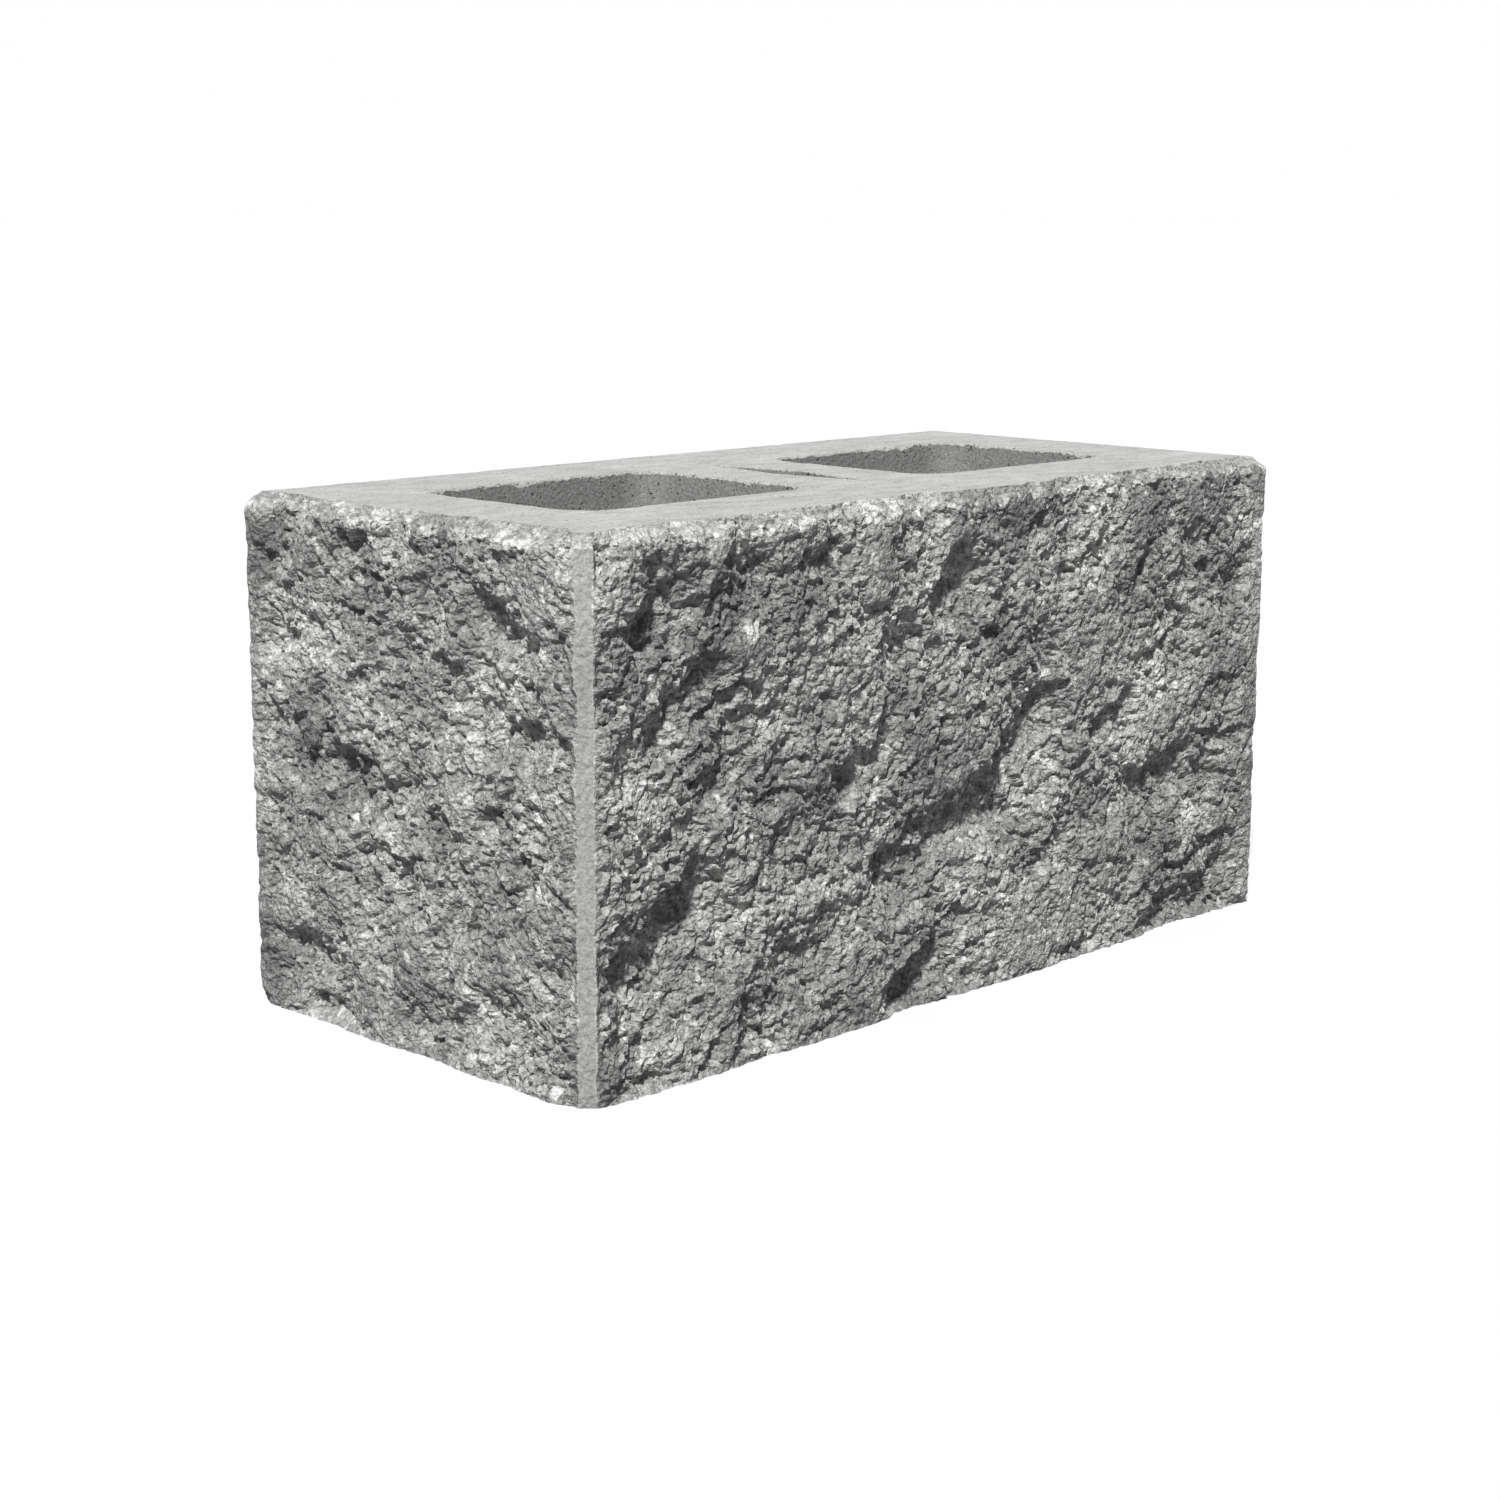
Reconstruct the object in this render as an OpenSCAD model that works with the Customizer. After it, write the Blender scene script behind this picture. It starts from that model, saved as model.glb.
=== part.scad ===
// Split-face concrete block with two cores.
// The long face and one end are rough and split, with crushed edges and a smooth strip down the corner
// between them. The top, base, back and far end are cast flat. A slit runs down the web between the cores.
// X runs along the block from the split end, Y from the split face to the back, Z up from the base.

/* [Block] */
// Length, over the split end
block_l = 400; // [300:5:600]
// Width, over the split face
block_w = 190; // [150:5:300]
// Height
block_h = 200; // [100:5:300]

/* [Walls] */
// Wall between a core and the plain end, at the top
plain_end_wall = 43; // [30:1:70]
// Wall between a core and the split end, at the top
split_end_wall = 49; // [36:1:80]
// Wall between the cores and the plain back, at the top
back_wall = 44; // [30:1:60]
// Wall between the cores and the split face, at the top
face_wall = 53; // [36:1:70]
// Web between the two cores, at the top
web = 68; // [40:1:110]

/* [Cores] */
// Corner radius of a core at the top
core_r = 16; // [6:1:24]
// Draft: how far each core wall stands back at the base
core_draft = 3; // [0:0.5:5]

/* [Slit] */
// Width of the slit in the middle of the web
slit_w = 15; // [6:1:24]
// How far the points of the slit stop short of the lines of the core walls
slit_short = 1; // [0:1:15]

/* [Split faces] */
// Greatest depth of the split faces below their highest lumps
relief = 9; // [4:0.5:14]
// Size of the broad lumps
lump = 30; // [24:1:80]
// Size of the small lumps
knob = 14; // [12:1:30]
// Depth of the deepest ledge
ledge = 6.5; // [0:0.5:8]
// Run of the steep side of a ledge
ledge_step = 5; // [3:0.5:10]
// Run of the ramp below the deepest ledge
ledge_ramp = 50; // [40:5:90]
// Width over which the fracture runs out at the straight far edges
far_fade = 18; // [8:1:30]
// Spacing of the facets
facet = 8.5; // [6.5:0.5:16]
// Seed of the fracture
fracture_seed = 11; // [1:1:99]

/* [Corner strip] */
// How far the smooth strip reaches along each side
strip_leg = 5.6; // [3:0.2:10]
// Depth of the edges of the strip below the highest lumps
strip_inset = 3; // [0:0.5:6]
// Width over which the fracture runs out beside the strip
strip_fade = 14; // [8:1:30]

/* [Crushed edges] */
// Run of the crushed edge at the top
top_run = 8; // [2:0.5:12]
// Drop of the crushed edge at the top
top_drop = 5; // [3:0.5:10]
// Run of the crushed edge at the base
base_run = 3; // [1:0.5:12]
// Rise of the crushed edge at the base
base_rise = 5; // [3:0.5:10]
// Run of the crushed ends of the strip
strip_run = 3; // [0.5:0.5:6]

/* [Hidden] */

concrete_grey = [0.62, 0.62, 0.61];
core_fn = 32;
cut = 2;

half_l = block_l / 2;
half_w = block_w / 2;
core_l = (block_l - plain_end_wall - split_end_wall - web) / 2;
core_w = block_w - back_wall - face_wall;
core_y = half_w - back_wall - core_w / 2;
web_x = half_l - plain_end_wall - core_l - web / 2;
core_pitch = core_l + web;
slit_l = core_w - 2 * slit_short;

// Ledges: both ends as parts of the side's length and of the height, then depth as a part of the deepest
face_ledge_shares = [
    [[0.04, 0.27], [0.14, 0.40], 1.00], [[0.09, 0.67], [0.15, 0.77], 0.75], [[0.06, 0.82], [0.10, 0.92], 0.75],
    [[0.50, 0.40], [0.62, 0.59], 0.90], [[0.38, 0.34], [0.49, 0.42], 0.75], [[0.45, 0.84], [0.48, 0.90], 0.75],
    [[0.78, 0.39], [0.86, 0.42], 0.65], [[0.38, 0.74], [0.42, 0.79], 0.60], [[0.31, 0.52], [0.35, 0.57], 0.60],
    [[0.71, 0.50], [0.76, 0.55], 0.60], [[0.82, 0.07], [0.99, 0.15], 0.80], [[0.40, 0.06], [0.46, 0.15], 0.65],
    [[0.15, 0.57], [0.19, 0.62], 0.60], [[0.23, 0.39], [0.26, 0.46], 0.60], [[0.95, 0.75], [0.97, 0.85], 0.55]
];
end_ledge_shares = [
    [[0.72, 0.14], [0.88, 0.18], 0.75], [[0.14, 0.83], [0.29, 0.89], 0.70], [[0.54, 0.52], [0.71, 0.57], 0.70],
    [[0.79, 0.54], [0.91, 0.60], 0.60], [[0.16, 0.67], [0.30, 0.71], 0.60], [[0.75, 0.77], [0.86, 0.81], 0.55],
    [[0.91, 0.18], [1.00, 0.25], 0.55], [[0.17, 0.14], [0.31, 0.17], 0.50]
];

// How the depth of the fracture is shared out between its mean and its lumps
mean_share = 0.26;
lump_share = 0.26;
knob_share = 0.26;
// Least run of a ragged crushed edge, as a part of its mean
ragged_share = 0.4;
// How far the corners of the facets stray from an even grid, as a part of their spacing
stray_share = 0.22;

// Random heights on a square lattice. The end and the small lumps read it from columns of their own
lattice_columns = 127;
lattice_count = 4001;
end_column = 29;
knob_column = 59;
rise_column = 83;
heights = rands(0, 1, lattice_count, fracture_seed);

function held(t) = min(1, max(0, t));
function ease(t) = held(t) * held(t) * (3 - 2 * held(t));
function mix(a, b, t) = a + (b - a) * t;
function corner_height(i, j) = heights[(i + lattice_columns * j) % lattice_count];

// Smooth random height from 0 to 1, for lumps of one size
function lumps(s, z, size, column) =
    let (
        i = floor(s / size),
        j = floor(z / size),
        a = ease(s / size - i),
        b = ease(z / size - j),
        low = mix(corner_height(column + i, j), corner_height(column + i + 1, j), a),
        high = mix(corner_height(column + i, j + 1), corner_height(column + i + 1, j + 1), a)
    )
    mix(low, high, b);

// A place on a split side, from its shares
function side_place(shares, side_l) = [shares[0] * side_l, shares[1] * block_h];

// Depth of the deepest ledge at a place on a split side: a steep drop, then a long ramp back out below it
function ledge_depth(s, z, side_l, ledge_shares) =
    ledge * max([
        for (l = ledge_shares)
            let (
                a = side_place(l[0], side_l),
                b = side_place(l[1], side_l),
                run = (b - a) / norm(b - a),
                along = ([s, z] - a) * run,
                below = cross([s, z] - a, run),
                past = max(-along, along - norm(b - a)),
                drop = ease(below / ledge_step),
                ramp = 1 - ease((below - ledge_step) / (l[2] * ledge_ramp))
            )
            l[2] * drop * ramp * ease(1 - past / (2 * ledge_step))
    ]);

// Depth of the fracture below the highest lumps
function fracture_depth(s, z, side_l, ledge_shares, column) =
    let (
        broad = lump_share * (2 * lumps(s, z, lump, column) - 1),
        small = knob_share * (2 * lumps(s, z, knob, column + knob_column) - 1)
    )
    min(relief, max(0, relief * (mean_share + broad + small) + ledge_depth(s, z, side_l, ledge_shares)));

// Depth of a ragged crushed edge
function edge_depth(s, z, run, side_l, ledge_shares, column) =
    run * mix(ragged_share, 2 - ragged_share, lumps(s, z, lump, column))
        + ledge_depth(s, z, side_l, ledge_shares);

// Depth of a split side at a place on one level, running out into the strip and at the far edge
function side_depth(s, z, level, side_l, ledge_shares, column) =
    let (
        run = level[1],
        beside = ease((s - strip_inset - strip_leg) / strip_fade),
        rough = run > 0
            ? edge_depth(s, z, run, side_l, ledge_shares, column)
            : fracture_depth(s, z, side_l, ledge_shares, column) * ease((side_l - s) / far_fade)
    )
    mix(strip_inset + level[2], rough, beside);

// Levels of the body: height, run of the crushed edge, run of the strip's end, whether its corners stray
level_count = ceil((block_h - base_rise - top_drop) / facet);
levels = concat(
    [[0, base_run, strip_run, 0]],
    [
        for (k = [0 : level_count])
            [mix(base_rise, block_h - top_drop, k / level_count), 0, 0, k > 0 && k < level_count ? 1 : 0]
    ],
    [[block_h, top_run, strip_run, 0]]
);

end_steps = ceil(block_w / facet);
face_steps = ceil(block_l / facet);

// How far one corner of a facet strays
function stray(i, j) = stray_share * facet * (2 * corner_height(i, j) - 1);

// Place of a facet corner along and up a split side. The far edge of the side stays straight
function facet_corner(s, level, side_l, column) =
    let (
        z = level[0],
        i = column + round(s / facet),
        j = round(z / facet)
    )
    s < side_l ? [s + stray(i, j), z + level[3] * stray(i + rise_column, j)] : [s, z];

// Ring of points at one level: plain back, split end, strip, split face and plain end
function ring(level) =
    let (
        z = level[0],
        near = strip_inset + level[2],
        far = near + strip_leg
    )
    concat(
        [[half_l, half_w, z]],
        [
            for (k = [0 : end_steps - 1])
                let (
                    c = facet_corner(mix(block_w, far, k / end_steps), level, block_w, end_column),
                    depth = side_depth(c[0], c[1], level, block_w, end_ledge_shares, end_column)
                )
                [depth - half_l, c[0] - half_w, c[1]]
        ],
        [[near - half_l, far - half_w, z], [far - half_l, near - half_w, z]],
        [
            for (k = [1 : face_steps])
                let (
                    c = facet_corner(mix(far, block_l, k / face_steps), level, block_l, 0),
                    depth = side_depth(c[0], c[1], level, block_l, face_ledge_shares, 0)
                )
                [c[0] - half_l, depth - half_w, c[1]]
        ]
    );

// The two triangles of a wall facet, split along its shorter diagonal
function facet_pair(points, a, b, c, d) =
    norm(points[a] - points[c]) < norm(points[b] - points[d])
        ? [[a, d, c], [a, c, b]]
        : [[a, d, b], [b, d, c]];

module split_body() {
    points = [for (level = levels) each ring(level)];
    n = len(ring(levels[0]));
    top = len(levels) - 1;
    walls = [
        for (k = [0 : top - 1], i = [0 : n - 1])
            let (
                next = (i + 1) % n,
                a = k * n + i,
                b = k * n + next
            )
            each facet_pair(points, a, b, b + n, a + n)
    ];
    base_cap = [for (i = [0 : n - 1]) i];
    top_cap = [for (i = [n - 1 : -1 : 0]) top * n + i];
    polyhedron(points, concat(walls, [base_cap, top_cap]));
}

// Size of a core at a height: its walls stand back towards the base
function core_size(z) =
    let (grow = 2 * core_draft * (1 - z / block_h))
    [core_l + grow, core_w + grow];

module core(x) {
    low = core_size(-cut);
    high = core_size(block_h + cut);
    taper = [high[0] / low[0], high[1] / low[1]];
    translate([x, core_y, -cut])
        linear_extrude(height = block_h + 2 * cut, scale = taper, slices = 1)
            hull()
                for (i = [-1, 1], j = [-1, 1])
                    translate([i * (low[0] / 2 - core_r), j * (low[1] / 2 - core_r)])
                        circle(r = core_r, $fn = core_fn);
}

module slit() {
    translate([web_x, core_y, -cut])
        linear_extrude(height = block_h + 2 * cut)
            polygon([[0, -slit_l / 2], [slit_w / 2, 0], [0, slit_l / 2], [-slit_w / 2, 0]]);
}

module concrete_block() {
    color(concrete_grey)
        difference() {
            split_body();
            for (side = [-1, 1])
                core(web_x + side * core_pitch / 2);
            slit();
        }
}

concrete_block();
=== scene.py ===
"""Looks of the split-face concrete block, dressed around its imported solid."""

import math
from collections import namedtuple

import bmesh
import bpy
from mathutils import Matrix, Vector, noise


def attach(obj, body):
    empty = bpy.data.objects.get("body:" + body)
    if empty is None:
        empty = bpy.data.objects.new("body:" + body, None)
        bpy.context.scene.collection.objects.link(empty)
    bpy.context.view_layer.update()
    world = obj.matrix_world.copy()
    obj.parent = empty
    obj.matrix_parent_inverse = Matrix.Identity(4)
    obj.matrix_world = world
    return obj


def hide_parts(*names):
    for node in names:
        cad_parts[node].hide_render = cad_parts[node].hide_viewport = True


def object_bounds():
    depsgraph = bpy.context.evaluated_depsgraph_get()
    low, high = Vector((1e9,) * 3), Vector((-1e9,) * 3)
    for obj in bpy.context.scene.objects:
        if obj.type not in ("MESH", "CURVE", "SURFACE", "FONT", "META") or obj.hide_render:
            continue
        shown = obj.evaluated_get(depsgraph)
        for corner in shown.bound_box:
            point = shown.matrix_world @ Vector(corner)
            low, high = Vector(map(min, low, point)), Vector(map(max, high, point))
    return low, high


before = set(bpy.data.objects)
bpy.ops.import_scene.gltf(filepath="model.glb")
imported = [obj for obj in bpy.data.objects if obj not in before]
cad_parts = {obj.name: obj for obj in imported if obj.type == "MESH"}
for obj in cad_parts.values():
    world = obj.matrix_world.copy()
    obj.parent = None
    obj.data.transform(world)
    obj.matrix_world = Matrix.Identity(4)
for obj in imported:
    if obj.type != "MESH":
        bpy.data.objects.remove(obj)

cad_low, cad_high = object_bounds()

MM = 0.001

# Seed of the fracture
FRACTURE_SEED = 5
noise.seed_set(FRACTURE_SEED)

# Finishes, in the order of the material slots
FINISHES = range(7)
CAST, FACE, END, CRUSH, STRIP, CORE, RIM = FINISHES
SPLIT = {FACE, END}
ROUGH = {FACE, END, CRUSH, STRIP}

# Fineness of the mesh, and which faces count as level or as part of a core's rounded corners
WELD = 0.01 * MM
FLAT_ANGLE = math.radians(0.2)
SPLIT_CUTS = 9
SMOOTH_PASSES = 12
LEVEL = 0.9995
CURVED_AREA = 900 * MM * MM

# Worn rims: step along them, size, its points in from the wall and down, and where it runs out
RIM_STEP = 1.2 * MM
ARRIS = 1.5 * MM
ARRIS_STEPS = 2
ARRIS_POINTS = ((0.29, 0.29), (1.0, 0.0))
RIM_FADE = 12 * MM

# Reach of the rough sides in from the box, reach of the corner strip, and drop of the crushed top edge
ROUGH_DEPTH = 20 * MM
STRIP_REACH = 11.8 * MM
CRUSH_DROP = 5 * MM

# Slit: place along the block, half of the zone in which rims are worn less, and what is left of the wear.
# From here to the two split sides, lengths are in millimetres
SLIT_X = 3
SLIT_ZONE = 9
SLIT_WEAR = 0.4

# Wear along a rim in parts of its size, the lengths of its waves and chips, and the noise that chips it
RIM_MEAN = 0.7
RIM_WAVE = 0.5
RIM_BROAD = 7.0
RIM_FINE = 2.6
RIM_LEAST = 0.25
CHIP_WEAR = 0.8
CHIP_SPACING = 11.0
CHIP_FROM = 0.32
CHIP_EDGE = 0.2

# Bends of the fracture: how far a place strays and the size of the bends
BROAD_BEND = (3.0, 9.0)
FINE_BEND = (1.2, 3.6)
GRAIN_BEND = (0.6, 1.7)
LEDGE_BROAD_BEND = (5.0, 15.0)
LEDGE_FINE_BEND = (3.0, 6.0)

# Broken plates: size, slope and lean. Then their steps and joins, in parts of their size
BROAD_PLATES = (26.0, 0.13, 0.3)
SMALL_PLATES = (11.0, 0.20, 0.5)
SMALL_PLATES_SHIFT = Vector((31, 57, 9))
PLATE_STEP = 0.3
PLATE_JOIN = 0.14

# Clumps: size, height, and what brings the noise up to about 1
CLUMP_SIZE = 5.0
CLUMP_HEIGHT = 1.1
CLUMP_GAIN = 2.2

# Grains: sizes, then their form in parts of their size
GRAIN_SIZE = 3.4
SMALL_GRAIN_SIZE = 2.2
SMALL_GRAIN_HEIGHT = 0.8
SMALL_GRAINS_SHIFT = Vector((4, 9, 30))
GRAIN_ROUND = 0.8
GRAIN_GAP = 0.25
GRAIN_DOME = 0.40
GRAIN_STEP = 0.26
GRAIN_GROOVE = 0.08
# Spread that gives each cell of the noise a random value of its own
CELL_SPREAD = 7.31

# Tone of the grains: the darkest, how much paler they get, and the painted shade in the gaps between them
GRAIN_DARK = 0.82
GRAIN_PALE = 0.60
GAP_SHADE = 0.14
SMALL_DARK = 0.86
SMALL_PALE = 0.40
SMALL_GAP_SHADE = 0.10

# Form of a ledge in parts of its width: run of the drop, start of the ramp and run of the ramp
LEDGE_DROP = 0.3
LEDGE_HOLD = 0.7
LEDGE_RAMP = 2.5

# Deep ledges of the split sides: along from the corner strip and up, at both ends, then depth and width
FACE_LEDGES = [
    ((54, 79), (15, 53), 3.4, 17),
    ((44, 58), (18, 36), 4.2, 13),
    ((32, 32), (17, 12), 3.4, 10),
    ((59, 154), (34, 133), 1.8, 12),
    ((39, 183), (25, 163), 1.8, 11),
    ((249, 117), (201, 79), 3.0, 15),
    ((197, 83), (153, 67), 1.8, 11),
    ((194, 183), (178, 166), 3.4, 13),
    ((345, 83), (311, 78), 1.8, 10),
    ((167, 157), (152, 147), 1.8, 9),
    ((304, 110), (282, 99), 1.8, 9),
    ((183, 30), (159, 12), 2.2, 12),
    ((75, 123), (58, 113), 1.8, 10),
    ((107, 43), (93, 34), 1.8, 9),
    ((385, 42), (330, 24), 2.4, 12),
]
END_LEDGES = [
    ((167, 35), (136, 28), 2.2, 12),
    ((56, 178), (27, 166), 1.6, 11),
    ((135, 114), (102, 104), 1.8, 10),
    ((57, 141), (30, 134), 1.8, 9),
    ((163, 162), (142, 153), 1.6, 9),
    ((110, 71), (81, 65), 1.8, 8),
]

# Pale stones in the split sides: along from the corner strip, up, and size
FACE_STONES = [
    (82, 160, 9), (59, 86, 4), (48, 155, 3.5), (60, 165, 3), (22, 139, 3), (159, 142, 3.5), (100, 94, 3),
    (69, 102, 3.5), (318, 130, 3), (200, 191, 4), (236, 85, 3.5), (240, 102, 3), (391, 47, 4),
    (301, 60, 3),
]
END_STONES = [
    (108, 194, 6), (93, 194, 6), (159, 163, 3.5), (125, 174, 3), (102, 172, 3), (91, 164, 3),
    (174, 129, 3.5), (141, 122, 4), (46, 132, 3), (132, 84, 4), (39, 93, 4), (98, 37, 4), (20, 4, 5),
]
# How sharp the stones' edges are, how far they calm the fracture and stand out of it, and their tone
STONE_EDGE = 2.4
STONE_CALM = 0.3
STONE_RISE = 0.5
STONE_TONE = 2.1

# Level of the fracture that stays in place, where it starts beside the strip, and how it runs out
MEAN_HEIGHT = 2.4
FRACTURE_START = 8.8
START_FADE = 3
EDGE_FADE = 10
FAR_CALM = 10
FAR_FADE = 6
BASE_CALM = 4
RIM_CALM = 0.4

# Ragged lines: lengths of their broad and fine waves
WANDER_BROAD = 8.0
WANDER_FINE = 2.6

# Crushed edges: wander, how far they stand back or out, and how the fracture turns over the top one
TOP_WANDER = (3.6, 1.5)
TOP_BACK = 1.2
TOP_TURN = 2
TOP_LIFT = 1.6
TOP_CALM = 0.5
BASE_WANDER = (1.4, 1.0)
BASE_OUT = 2.0
BASE_RISE = 5
LIP_WANDER = (3.4, 1.0)

# Bruises and dust along the top edge: sizes, where they start, how far they reach, and their tone
BRUISE_SIZE = 1.8
BRUISE_SPACING = 9.0
BRUISE_PATCH = 0.6
BRUISE_FROM = 0.22
BRUISE_EDGE = 0.2
BRUISE_REACH = 1.6
BRUISE_FADE = 1.4
BRUISE_TONE = 1.6
DUST_WANDER = (5.0, 3.0)
DUST_REACH = 6
DUST_FADE = 5
DUST_PALE = 0.12

# Rows of the noise, set apart from each other
BRUISE_ROW = 9
LIP_ROW = 20
BASE_ROW = 30
DUST_ROW = 50

# Strip: its reach along each side, where its border lies, and how far that strays, more on the split end
STRIP_LEG = 5.6
STRIP_BORDER = 8.6
STRIP_FADE = 5
STRIP_NARROWED = 0.4
STRIP_STRAY = 0.4
FINE_STRAY = 0.7
END_STRAY = 0.9
END_STRAY_FROM = 60
END_STRAY_OVER = 60
# Strip: its sandy hollows, its filled-out foot and the bruises on its border
STRIP_SAND = 0.2
STRIP_SAND_SIZE = 2.5
STRIP_FOOT = 2.4
STRIP_BRUISE_SIZE = 2.2
STRIP_BRUISE_FROM = 0.05
STRIP_BRUISE_PALE = 0.5
# Way in from the corner
INWARD = Vector((1, 1, 0))

# How near the box the relief is eased back, and how softly
BOX_NEAR = 8
BOX_SOFT = 1.6

# The two split sides: axis along, row of the noise, way out, way from the strip, ledges and stones
Side = namedtuple("Side", "axis seed out across ledges stones")
FACE_SIDE = Side(0, 3.0, Vector((0, -1, 0)), Vector((1, -1, 0)), FACE_LEDGES, FACE_STONES)
END_SIDE = Side(1, 77.0, Vector((-1, 0, 0)), Vector((-1, 1, 0)), END_LEDGES, END_STONES)


def ease(t):
    """Smooth step from 0 to 1."""
    t = min(1.0, max(0.0, t))
    return t * t * (3 - 2 * t)


def half_ease(t):
    """Smooth step from a half to 1."""
    return 0.5 + 0.5 * ease(t)


def bend(p, reach, size):
    """How far a place strays, with bends of one size."""
    return reach * noise.noise_vector(p / size)


def plates(p, size, slope, lean):
    """Broken plates of one size, each with its own step and tilt. A lean makes them step down one way."""
    distances, centres = noise.voronoi(p / size)
    heights = []
    for centre in centres[:2]:
        turn = 2 * noise.cell_vector(centre * CELL_SPREAD) - Vector((1, 1, 1))
        offset = p - size * centre
        tilt = (turn.x + lean) * offset.x + (turn.y - lean) * offset.y
        heights.append(slope * (tilt + PLATE_STEP * size * turn.z))
    own = half_ease((distances[1] - distances[0]) / PLATE_JOIN)
    return own * heights[0] + (1 - own) * heights[1]


def clumps(p, size):
    """Rounded clumps with sharp creases between them, 0 in the creases to about 1."""
    return CLUMP_GAIN * abs(noise.noise(p / size))


def ledge_height(s, z, ledge):
    """One ledge: a steep drop along a line, then a long ramp back out on its lower side."""
    (s0, z0), (s1, z1), depth, width = ledge
    length = math.hypot(s1 - s0, z1 - z0)
    run_s, run_z = (s1 - s0) / length, (z1 - z0) / length
    along = (s - s0) * run_s + (z - z0) * run_z
    across = (z - z0) * run_s - (s - s0) * run_z
    past = max(-along, along - length, 0.0)
    ramp = 1 - ease((across - LEDGE_HOLD * width) / (LEDGE_RAMP * width))
    return -depth * ease(across / (LEDGE_DROP * width)) * ramp * ease(1 - past / width)


def grains(p, size):
    """Rounded grains side by side: their height, a random value each, and how near a gap is."""
    distances, centres = noise.voronoi(p / size)
    pick = noise.cell_vector(centres[0] * CELL_SPREAD)
    dome = 1 - min(1.0, distances[0] / GRAIN_ROUND) ** 2
    gap = 1 - ease((distances[1] - distances[0]) / GRAIN_GAP)
    return size * (GRAIN_DOME * dome + GRAIN_STEP * pick.x - GRAIN_GROOVE * gap), pick.y, gap


def stone_at(s, z, stones):
    """How far a place lies inside a pale stone, 0 to 1."""
    return max(ease(STONE_EDGE * (1 - 2 * math.hypot(s - a, z - b) / size)) for a, b, size in stones)


def fracture(along, z, side):
    """Fine relief of a split side in millimetres, outward positive, and its tone, with painted shade in the
    gaps between grains.
    """
    p = Vector((along, z, side.seed))
    p += bend(p, *BROAD_BEND) + bend(p, *FINE_BEND)
    height = plates(p, *BROAD_PLATES)
    height += plates(p + SMALL_PLATES_SHIFT, *SMALL_PLATES)
    height += CLUMP_HEIGHT * clumps(p, CLUMP_SIZE)
    bent = p + bend(p, *GRAIN_BEND)
    grain, pick, gap = grains(bent, GRAIN_SIZE)
    small, small_pick, small_gap = grains(bent + SMALL_GRAINS_SHIFT, SMALL_GRAIN_SIZE)
    height += grain + SMALL_GRAIN_HEIGHT * small
    tone = (GRAIN_DARK + GRAIN_PALE * pick ** 3) * (SMALL_DARK + SMALL_PALE * small_pick ** 2)
    # Painted shade: the tone darkens in the gaps between grains, where shadow would fall
    tone = tone * (1 - GAP_SHADE * gap) * (1 - SMALL_GAP_SHADE * small_gap)
    bent = p + bend(p, *LEDGE_BROAD_BEND) + bend(p, *LEDGE_FINE_BEND)
    height += min([ledge_height(bent.x, bent.y, ledge) for ledge in side.ledges])
    stone = stone_at(p.x, p.y, side.stones)
    return height * (1 - STONE_CALM * stone) + STONE_RISE * stone, tone + (STONE_TONE - tone) * stone


def finish_of(face):
    """Which finish a face of the solid has."""
    centre = face.calc_center_median()
    if abs(face.normal.z) > LEVEL or centre.x > cad_high.x - WELD or centre.y > cad_high.y - WELD:
        return CAST
    if centre.x > cad_low.x + ROUGH_DEPTH and centre.y > cad_low.y + ROUGH_DEPTH:
        return CORE
    if all(v.co.z > cad_high.z - CRUSH_DROP - WELD for v in face.verts):
        return CRUSH
    if all(max(v.co.x - cad_low.x, v.co.y - cad_low.y) < STRIP_REACH for v in face.verts):
        return STRIP
    return FACE if face.normal.y < face.normal.x else END


def open_edges(bm, z, kinds):
    """Edges left open at one level, on faces of some finishes."""
    return [
        e for e in bm.edges
        if len(e.link_faces) == 1 and e.link_faces[0].material_index in kinds
        and all(abs(v.co.z - z) < WELD for v in e.verts)
    ]


def divide(bm, edges, step):
    """Divide edges evenly, to about one length."""
    by_cuts = {}
    for edge in edges:
        by_cuts.setdefault(round(edge.calc_length() / step), []).append(edge)
    for cuts in sorted(by_cuts):
        if cuts:
            bmesh.ops.subdivide_edges(bm, edges=by_cuts[cuts], cuts=cuts)


def block_mesh():
    """A copy of the block's solid, open at the top and base, with its rough sides finely divided."""
    bm = bmesh.new()
    bm.from_mesh(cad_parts["concrete_block"].data)
    bmesh.ops.remove_doubles(bm, verts=bm.verts, dist=WELD)
    bm.normal_update()
    for face in bm.faces:
        face.material_index = finish_of(face)
    bmesh.ops.delete(bm, geom=[f for f in bm.faces if abs(f.normal.z) > LEVEL], context="FACES")

    # Join up the flat cast sides and wear their common edge
    flat = [e for e in bm.edges if all(f.material_index in (CAST, CORE) for f in e.link_faces)]
    bmesh.ops.dissolve_limit(
        bm, angle_limit=FLAT_ANGLE, use_dissolve_boundaries=False, verts=[], edges=flat,
        delimit={"MATERIAL"},
    )
    spare = [v for v in bm.verts if len(v.link_edges) == 2 and len(v.link_faces) == 2]
    bmesh.ops.dissolve_verts(bm, verts=spare)
    corner = [
        e for e in bm.edges
        if len(e.link_faces) == 2 and all(f.material_index == CAST for f in e.link_faces)
    ]
    bmesh.ops.bevel(
        bm, geom=corner, offset=ARRIS, offset_type="OFFSET", segments=ARRIS_STEPS, profile=0.5,
        affect="EDGES", clamp_overlap=False, material=-1,
    )

    rough = [e for e in bm.edges if any(f.material_index in ROUGH for f in e.link_faces)]
    bmesh.ops.subdivide_edges(bm, edges=rough, cuts=SPLIT_CUTS, use_grid_fill=True)
    return bm


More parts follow.
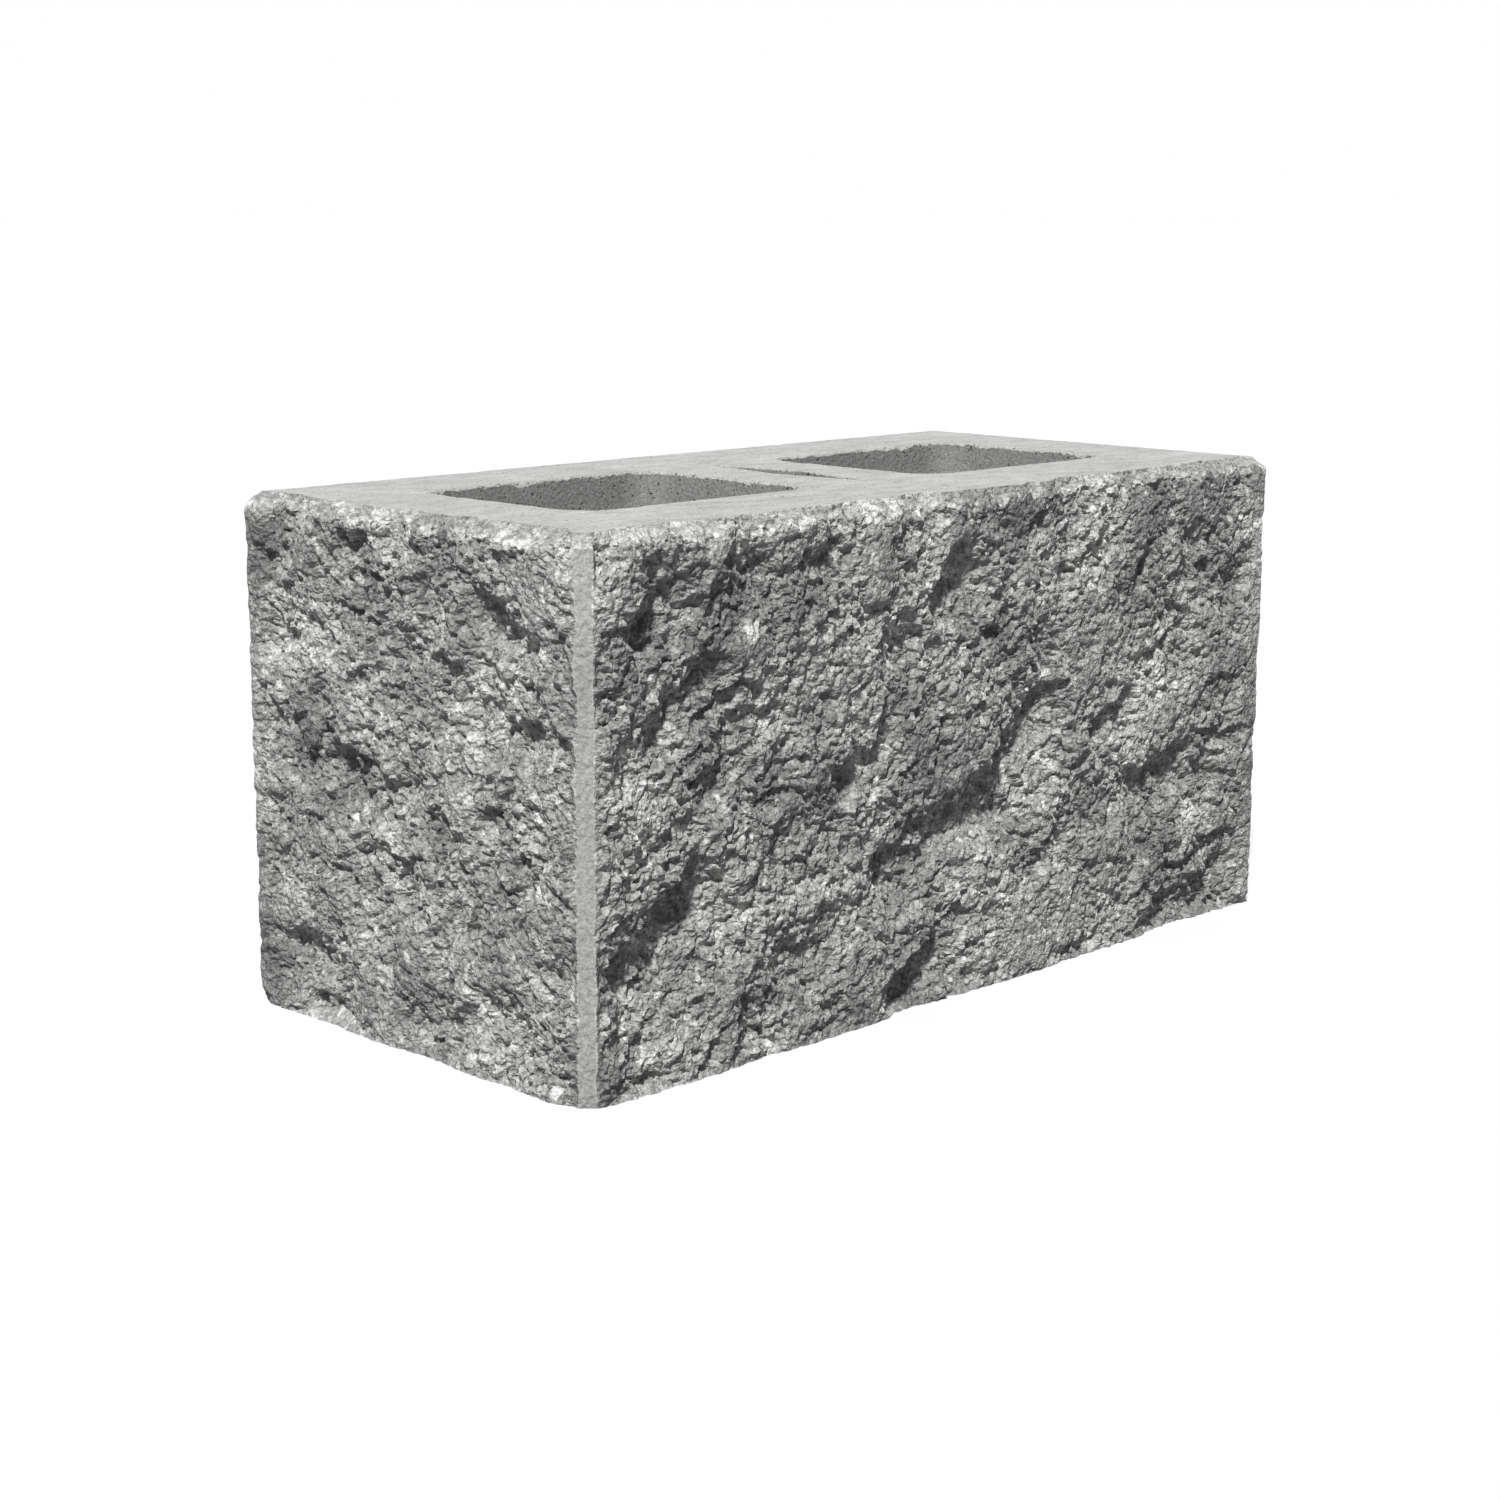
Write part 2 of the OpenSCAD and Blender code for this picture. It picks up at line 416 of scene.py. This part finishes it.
def rim_size(place):
    """Size of the worn arris at a place on a rim: ragged, with a chip here and there."""
    p = place / MM
    ragged = RIM_MEAN + RIM_WAVE * noise.noise(p / RIM_BROAD) + RIM_WAVE * noise.noise(p / RIM_FINE)
    chip = ease((noise.noise(p / CHIP_SPACING) - CHIP_FROM) / CHIP_EDGE)
    wear = SLIT_WEAR if abs(p.x - SLIT_X) < SLIT_ZONE else 1.0
    return ARRIS * wear * (max(RIM_LEAST, ragged) + CHIP_WEAR * chip)


def round_rims(bm, z, up):
    """Wear the arris off the cast rims at one level. It runs out where they meet the split sides."""
    divide(bm, open_edges(bm, z, {CAST, CORE}), RIM_STEP)
    edges = open_edges(bm, z, {CAST, CORE})
    rough = {v for e in open_edges(bm, z, ROUGH) for v in e.verts}
    inward = {}
    for edge in edges:
        wall = edge.link_faces[0].normal
        for v in edge.verts:
            inward[v] = inward.get(v, Vector()) - Vector((wall.x, wall.y, 0))
    ends = [v.co.copy() for v in inward if v in rough]
    origin = {v: v.co.copy() for v in inward}
    size = {
        v: rim_size(v.co) * min([ease((v.co - end).length / RIM_FADE) for end in ends])
        for v in inward
    }
    drop = Vector((0, 0, -up))
    ring = {v: v for v in inward}
    for v in inward:
        v.co = origin[v] + size[v] * drop
    for along, down in ARRIS_POINTS:
        made = bmesh.ops.extrude_edge_only(bm, edges=edges)["geom"]
        edges = [
            g for g in made
            if isinstance(g, bmesh.types.BMEdge) and len(g.link_faces) == 1
            and not any(v in ring for v in g.verts)
        ]
        grown = {}
        for v in (g for g in made if isinstance(g, bmesh.types.BMVert)):
            old = next(ring[e.other_vert(v)] for e in v.link_edges if e.other_vert(v) in ring)
            grown[v] = old
            v.co = origin[old] + size[old] * (along * inward[old].normalized() + down * drop)
        for face in (g for g in made if isinstance(g, bmesh.types.BMFace)):
            face.material_index = RIM
            face.smooth = True
        ring = grown
    bmesh.ops.remove_doubles(bm, verts=bm.verts, dist=0.1 * WELD)


def fill_cap(bm, z, up):
    """Close the block at one level."""
    made = bmesh.ops.triangle_fill(
        bm, use_beauty=True, use_dissolve=False, edges=open_edges(bm, z, FINISHES), normal=(0, 0, up),
    )
    for face in (g for g in made["geom"] if isinstance(g, bmesh.types.BMFace)):
        face.material_index = CAST
        face.normal_update()
        if face.normal.z * up < 0:
            face.normal_flip()


def smooth_split(bm, times):
    """Take the edges off the solid's facets before the fine relief goes on."""
    inner = [
        v for v in bm.verts
        if not v.is_boundary and all(f.material_index in SPLIT | {CRUSH} for f in v.link_faces)
    ]
    for _ in range(times):
        bmesh.ops.smooth_vert(
            bm, verts=inner, factor=0.5, use_axis_x=True, use_axis_y=True, use_axis_z=True,
        )


def wander(along, seed, broad, fine):
    """A ragged line in millimetres: how far it strays at a place along it."""
    p = Vector((along, 0, seed))
    return broad * noise.noise(p / WANDER_BROAD) + fine * noise.noise(p / WANDER_FINE)


def keep_inside(place):
    """Ease a place back inside the solid's box, with no flat spot where it would stick out."""
    for axis in (0, 1):
        depth = (place[axis] - cad_low[axis]) / MM
        if depth < BOX_NEAR:
            place[axis] = cad_low[axis] + 0.5 * (depth + math.hypot(depth, BOX_SOFT)) * MM


def strip_stray(z, side):
    """How far the strip's border strays at a height. On the split end it is more ragged higher up."""
    reach = STRIP_STRAY
    if side is END_SIDE:
        reach = STRIP_STRAY + END_STRAY * ease((z - END_STRAY_FROM) / END_STRAY_OVER)
    return wander(z, side.seed, reach, FINE_STRAY * reach) - STRIP_NARROWED


def strip_relief(s, t, z, side, border):
    """How far a point of the corner strip moves, in millimetres, and its tone."""
    move = side.across * strip_stray(z, side) * abs(s - t) / STRIP_LEG
    move += INWARD * STRIP_SAND * (1 + noise.noise(Vector((s - t, z, side.seed)) / STRIP_SAND_SIZE))
    move -= INWARD * STRIP_FOOT * max(0.0, 1 - z / BASE_RISE)
    if not border:
        return move, 1.0
    bruise = noise.noise(Vector((max(s, t), z, side.seed + BRUISE_ROW)) / STRIP_BRUISE_SIZE)
    return move, 1 + STRIP_BRUISE_PALE * ease((bruise - STRIP_BRUISE_FROM) / BRUISE_EDGE)


def split_relief(along, depth, z, left, side, on_rim):
    """How far a point of a split side or a crushed edge moves, in millimetres, and its tone, with painted
    shade in the gaps between grains.
    """
    drop = CRUSH_DROP / MM
    under = cad_high.z / MM - drop - z
    crushed = ease(-under / drop)
    turned = ease(-under / TOP_TURN)
    beside = ease((along - FRACTURE_START) / EDGE_FADE)
    far = ease(left / FAR_FADE)

    # The fracture, unrolled over the crushed top edge
    height, tone = fracture(along, z + depth * max(0.0, -under / drop), side)
    fade = ease((along - FRACTURE_START) / START_FADE) * half_ease(left / FAR_CALM)
    fade *= half_ease(z / BASE_CALM)
    lift = TOP_LIFT * turned
    if on_rim:
        lift = 0.0
        fade *= RIM_CALM
    face_out = (side.out + Vector((0, 0, lift))).normalized()
    move = face_out * (height - MEAN_HEIGHT) * fade * (1 - TOP_CALM * turned)

    # The top edge, the base edge, the border of the strip and the lip under the top edge
    top_stray = wander(along, side.seed, *TOP_WANDER) - TOP_BACK
    move += side.out * top_stray * crushed * beside * far
    base_stray = wander(along, side.seed + BASE_ROW, *BASE_WANDER) + BASE_OUT
    move += side.out * base_stray * max(0.0, 1 - z / BASE_RISE) * far
    move += side.across * strip_stray(z, side) * ease(1 - (along - STRIP_BORDER) / STRIP_FADE)
    near = ease(1 - abs(under) / drop)
    move += Vector((0, 0, wander(along, side.seed + LIP_ROW, *LIP_WANDER))) * near * beside

    chips = noise.noise(Vector((along, z, side.seed + BRUISE_ROW)) / BRUISE_SIZE)
    chips += BRUISE_PATCH * noise.noise(Vector((along, 0, side.seed)) / BRUISE_SPACING)
    bruise = ease((chips - BRUISE_FROM) / BRUISE_EDGE) * ease(BRUISE_REACH - abs(under) / BRUISE_FADE)
    dusty = ease((DUST_REACH - under + wander(along, side.seed + DUST_ROW, *DUST_WANDER)) / DUST_FADE)
    return move, tone * (1 + DUST_PALE * dusty) + max(0, BRUISE_TONE - tone) * bruise


def roughen_split(bm):
    """Move the points of the split sides to their fine relief, and set how pale the concrete is at each,
    with painted shade in the gaps between grains.
    """
    tone = bm.verts.layers.float.new("tone")
    moves = []
    for v in bm.verts:
        kinds = {f.material_index for f in v.link_faces}
        if not kinds & ROUGH:
            continue
        s = (v.co.x - cad_low.x) / MM
        t = (v.co.y - cad_low.y) / MM
        z = v.co.z / MM
        side = FACE_SIDE if t < s else END_SIDE
        if STRIP in kinds:
            move, v[tone] = strip_relief(s, t, z, side, bool(kinds & SPLIT))
        else:
            left = (cad_high[side.axis] - v.co[side.axis]) / MM
            move, v[tone] = split_relief(max(s, t), min(s, t), z, left, side, v.is_boundary)
        moves.append((v, move * MM))
    for v, move in moves:
        v.co += move
        keep_inside(v.co)
        v.co.z = min(max(v.co.z, cad_low.z), cad_high.z)


def piece_of(face):
    """Which piece of the block a face goes into. The split sides are too fine for one piece."""
    if face.material_index == END:
        return "split_end"
    if face.material_index == FACE:
        return "split_face_near" if face.calc_center_median().x < 0 else "split_face_far"
    return "cast_body"


def new_object(name, data):
    """A new object in the scene."""
    made = bpy.data.objects.new(name, data)
    bpy.context.scene.collection.objects.link(made)
    return made


def make_block():
    """The whole block, as pieces that meet point to point."""
    bm = block_mesh()
    smooth_split(bm, SMOOTH_PASSES)
    roughen_split(bm)
    for z, up in ((cad_high.z, 1), (cad_low.z, -1)):
        round_rims(bm, z, up)
        fill_cap(bm, z, up)
    for face in bm.faces:
        if face.material_index == CORE and face.calc_area() < CURVED_AREA:
            face.smooth = True
    for edge in bm.edges:
        if {f.material_index for f in edge.link_faces} == {CORE, RIM}:
            edge.smooth = False
    pieces = []
    for name in ("cast_body", "split_end", "split_face_near", "split_face_far"):
        part = bm.copy()
        bmesh.ops.delete(part, geom=[f for f in part.faces if piece_of(f) != name], context="FACES")
        mesh = bpy.data.meshes.new(name)
        part.to_mesh(mesh)
        part.free()
        pieces.append(new_object(name, mesh))
    bm.free()
    return pieces


# Concrete: surface, warmth, and the usual range of the noise
ROUGHNESS = 0.95
SPECULAR = 0.15
WARM = 0.985
NOISE_RANGE = (0.3, 0.7)

# Noise of the finishes: size in millimetres, detail and roughness
SPLIT_SAND = (1.0, 2.0, 0.5)
SPLIT_PATCH = (40.0, 2.0, 0.5)
CAST_SAND = (1.3, 3.0, 0.65)
CAST_PATCH = (30.0, 3.0, 0.5)
CAST_STREAK = (8.0, 3.0, 0.6)
CAST_PORE = (2.6, 2.0, 0.6)

# Split finish: grit size and bend in millimetres, then its contrasts, the painted shade toward the edges of
# its grit cells and where it starts, and its height in the bump
GRIT_SIZE = 2.2
GRIT_BEND = 1.6
PATCH_CONTRAST = 0.40
GRIT_CONTRAST = 0.14
GRIT_SHADE = 0.24
GRIT_EDGE = (0.35, 0.75)
GRIT_DOME = 1.1
GRIT_STEP = 0.3
PALEST = 0.82

# Cast finish: stretch of the streaks, contrast of the patches, and the noise that makes a pore: where it
# gets painted shade, and where it sinks in the bump
STREAK_STRETCH = (0.4, 1.0, 1.0)
CAST_CONTRAST = 0.06
PORE_SHADE_SPAN = (0.28, 0.35)
PORE_DEEP = (0.27, 0.37)


def add(tree, kind, settings=None, inputs=None):
    """Add a shader node, with its settings and its inputs: values or the outputs of other nodes."""
    made = tree.nodes.new(kind)
    for name, value in (settings or {}).items():
        setattr(made, name, value)
    for name, value in (inputs or {}).items():
        if isinstance(value, bpy.types.NodeSocket):
            tree.links.new(value, made.inputs[name])
        else:
            made.inputs[name].default_value = value
    return made


def maths(tree, operation, a, b):
    return add(tree, "ShaderNodeMath", {"operation": operation}, {0: a, 1: b}).outputs[0]


def maths_vector(tree, operation, a, b):
    other = "Scale" if operation == "SCALE" else 1
    return add(tree, "ShaderNodeVectorMath", {"operation": operation}, {0: a, other: b}).outputs[0]


def band(tree, value, span, to_low, to_high):
    """Map a value from one range to another, held at both ends."""
    low, high = span
    made = add(tree, "ShaderNodeMapRange", {"clamp": True}, {
        "Value": value, "From Min": low, "From Max": high, "To Min": to_low, "To Max": to_high,
    })
    return made.outputs["Result"]


def tint(tree, grey, value, span, to_low, to_high):
    """Multiply a grey by a value mapped from one range to another."""
    return maths(tree, "MULTIPLY", grey, band(tree, value, span, to_low, to_high))


def cloud(tree, place, size, detail, rough):
    """Noise with features of one size in millimetres."""
    made = add(tree, "ShaderNodeTexNoise", {}, {
        "Vector": place, "Scale": 1 / (size * MM), "Detail": detail, "Roughness": rough,
    })
    return made.outputs["Fac"]


def cloud_vector(tree, place, size):
    """A random shift at each place, about -0.5 to 0.5 each way."""
    made = add(tree, "ShaderNodeTexNoise", {}, {"Vector": place, "Scale": 1 / (size * MM), "Detail": 1.0})
    return maths_vector(tree, "SUBTRACT", made.outputs["Color"], (0.5, 0.5, 0.5))


def cells(tree, place, size):
    """Cells of one size in millimetres: the distance from their centres and a random value each."""
    made = add(tree, "ShaderNodeTexVoronoi", {}, {"Vector": place, "Scale": 1 / (size * MM)})
    parts = add(tree, "ShaderNodeSeparateColor", {}, {"Color": made.outputs["Color"]})
    return made.outputs["Distance"], parts.outputs["Red"]


def seen_directly(tree):
    """1 for what the camera sees, also in a reflection or through glass, and 0 for light thrown on."""
    path = add(tree, "ShaderNodeLightPath")
    seen = maths(tree, "MAXIMUM", path.outputs["Is Camera Ray"], path.outputs["Is Glossy Ray"])
    return maths(tree, "MAXIMUM", seen, path.outputs["Is Transmission Ray"])


def new_material(name):
    """A dull material, with its node tree and shader."""
    material = bpy.data.materials.new(name)
    material.use_nodes = True
    tree = material.node_tree
    shader = tree.nodes["Principled BSDF"]
    shader.inputs["Roughness"].default_value = ROUGHNESS
    shader.inputs["Specular IOR Level"].default_value = SPECULAR
    return material, tree, shader


def finish_colour(tree, shader, value, warm):
    """Drive the colour from one grey value. Less blue makes it warm."""
    blue = maths(tree, "MULTIPLY", value, warm)
    colour = add(tree, "ShaderNodeCombineColor", {}, {"Red": value, "Green": value, "Blue": blue})
    tree.links.new(colour.outputs["Color"], shader.inputs["Base Color"])


def finish_bump(tree, shader, height, depth):
    """Drive the bump from a height, with its depth in millimetres."""
    bump = add(tree, "ShaderNodeBump", {}, {"Height": height, "Distance": depth * MM, "Strength": 1.0})
    tree.links.new(bump.outputs["Normal"], shader.inputs["Normal"])


def split_concrete(name, grey_low, grey_high, grit, depth):
    """Broken concrete: sandy, with the tone of its grains and stones, painted shade in the gaps between
    grains, and painted shade toward the edges of its grit cells.
    """
    material, tree, shader = new_material(name)
    place = add(tree, "ShaderNodeTexCoord").outputs["Object"]
    tone_and_gap_shade = add(tree, "ShaderNodeAttribute", {"attribute_name": "tone"}).outputs["Fac"]
    sand = cloud(tree, place, *SPLIT_SAND)
    patch = cloud(tree, place, *SPLIT_PATCH)
    shift = maths_vector(tree, "SCALE", cloud_vector(tree, place, GRIT_BEND), GRIT_BEND * MM)
    far, pick = cells(tree, maths_vector(tree, "ADD", place, shift), GRIT_SIZE)
    grey = band(tree, sand, NOISE_RANGE, grey_low, grey_high)
    grey = tint(tree, grey, patch, NOISE_RANGE, 1 - PATCH_CONTRAST * grit, 1 + PATCH_CONTRAST * grit)
    grey = tint(tree, grey, pick, (0.0, 1.0), 1 - GRIT_CONTRAST * grit, 1 + GRIT_CONTRAST * grit)
    # Painted shade: darker toward the edges of the grit cells, where the bump sinks
    grey = tint(tree, grey, far, GRIT_EDGE, 1.0, 1 - GRIT_SHADE * grit)
    # Tone from the mesh, with its painted shade in the gaps between grains
    grey = maths(tree, "MULTIPLY", grey, tone_and_gap_shade)
    finish_colour(tree, shader, maths(tree, "MINIMUM", grey, PALEST), WARM)
    dome = maths(tree, "MULTIPLY", maths(tree, "MULTIPLY", far, far), -GRIT_DOME)
    height = maths(tree, "ADD", dome, maths(tree, "ADD", sand, maths(tree, "MULTIPLY", pick, GRIT_STEP)))
    finish_bump(tree, shader, height, depth)
    return material


def cast_concrete(name, grey_low, grey_high, streaks, pore_shade, depth):
    """Cast concrete: sandy, with pale and dark streaks along the block, and small pits, sunk by the bump,
    with painted shade in them.
    """
    material, tree, shader = new_material(name)
    place = add(tree, "ShaderNodeTexCoord").outputs["Object"]
    drawn = add(tree, "ShaderNodeMapping", {}, {"Vector": place, "Scale": STREAK_STRETCH}).outputs["Vector"]
    sand = cloud(tree, place, *CAST_SAND)
    streak = cloud(tree, drawn, *CAST_STREAK)
    patch = cloud(tree, place, *CAST_PATCH)
    hole = cloud(tree, place, *CAST_PORE)
    grey = band(tree, sand, NOISE_RANGE, grey_low, grey_high)
    grey = tint(tree, grey, streak, NOISE_RANGE, 1 - streaks, 1 + streaks)
    grey = tint(tree, grey, patch, NOISE_RANGE, 1 - CAST_CONTRAST, 1 + CAST_CONTRAST)
    # Painted shade: darker in the pits of the pore noise
    grey = tint(tree, grey, hole, PORE_SHADE_SPAN, 1 - pore_shade, 1.0)
    finish_colour(tree, shader, grey, WARM)
    height = maths(tree, "ADD", sand, band(tree, hole, PORE_DEEP, -1.0, 0.0))
    finish_bump(tree, shader, height, depth)
    return material


pieces = make_block()
# Split sides: a darker grey than the cast sides, as painted shade of roughness finer than their relief
split = split_concrete("split_concrete", grey_low=0.34, grey_high=0.60, grit=1.0, depth=0.80)
materials = (
    cast_concrete("cast_concrete", grey_low=0.42, grey_high=0.60, streaks=0.14, pore_shade=0.40, depth=0.4),
    split,
    split,
    split_concrete("crushed_concrete", grey_low=0.38, grey_high=0.62, grit=0.8, depth=0.8),
    split_concrete("strip_concrete", grey_low=0.37, grey_high=0.54, grit=0.3, depth=0.25),
    # Core walls: the cast finish in a darker grey than the outer sides, as painted shade inside the cores
    cast_concrete("core_concrete_painted_shade", grey_low=0.22, grey_high=0.42, streaks=0.04, pore_shade=0.35, depth=0.4),
    cast_concrete("rim_concrete", grey_low=0.30, grey_high=0.62, streaks=0.04, pore_shade=0.45, depth=0.7),
)
for piece in pieces:
    for material in materials:
        piece.data.materials.append(material)
    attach(piece, "root")
    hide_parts("concrete_block")

# Floor: white to the camera, a plain grey to the light that it throws back
FLOOR_REACH = 30.0
FLOOR_GREY = 0.22
FLOOR_SEEN = 0.88
floor_mesh = bpy.data.meshes.new("floor")
bm = bmesh.new()
bmesh.ops.create_grid(bm, x_segments=1, y_segments=1, size=FLOOR_REACH)
bm.to_mesh(floor_mesh)
bm.free()
floor = new_object("floor", floor_mesh)
pale, tree, shader = new_material("pale_floor")
finish_colour(tree, shader, band(tree, seen_directly(tree), (0.0, 1.0), FLOOR_GREY, FLOOR_SEEN), 1.0)
floor.data.materials.append(pale)

# Camera, at the fitted place
CAMERA_PLACE = Vector((-0.7778, -0.7371, 0.3082))
CAMERA_TARGET = Vector((-0.0134, 0.0096, 0.0862))
CAMERA_ROLL = math.radians(0.199)
CAMERA_LENS = 63.45
CAMERA_SENSOR = 36.0
camera_data = bpy.data.cameras.new("camera")
camera_data.lens = CAMERA_LENS
camera_data.sensor_width = CAMERA_SENSOR
camera = new_object("camera", camera_data)
heading = (CAMERA_TARGET - CAMERA_PLACE).to_track_quat("-Z", "Y")
camera.matrix_world = (
    Matrix.Translation(CAMERA_PLACE) @ heading.to_matrix().to_4x4() @ Matrix.Rotation(CAMERA_ROLL, 4, "Z")
)
bpy.context.scene.camera = camera

# Key light from above the camera's left shoulder
KEY_FROM = Vector((-0.50, -0.36, 0.79)).normalized()
KEY_ENERGY = 4.0
KEY_ANGLE = math.radians(5)
key_data = bpy.data.lights.new("key", "SUN")
key_data.energy = KEY_ENERGY
key_data.angle = KEY_ANGLE
key = new_object("key", key_data)
key.matrix_world = KEY_FROM.to_track_quat("Z", "Y").to_matrix().to_4x4()

# Soft light from all round, seen as white
WORLD_LIGHT = 0.16
world = bpy.data.worlds.new("studio")
world.use_nodes = True
tree = world.node_tree
background = tree.nodes["Background"]
background.inputs["Color"].default_value = (1, 1, 1, 1)
tree.links.new(band(tree, seen_directly(tree), (0.0, 1.0), WORLD_LIGHT, 1.0), background.inputs["Strength"])
bpy.context.scene.world = world
bpy.context.scene.view_settings.view_transform = "Standard"
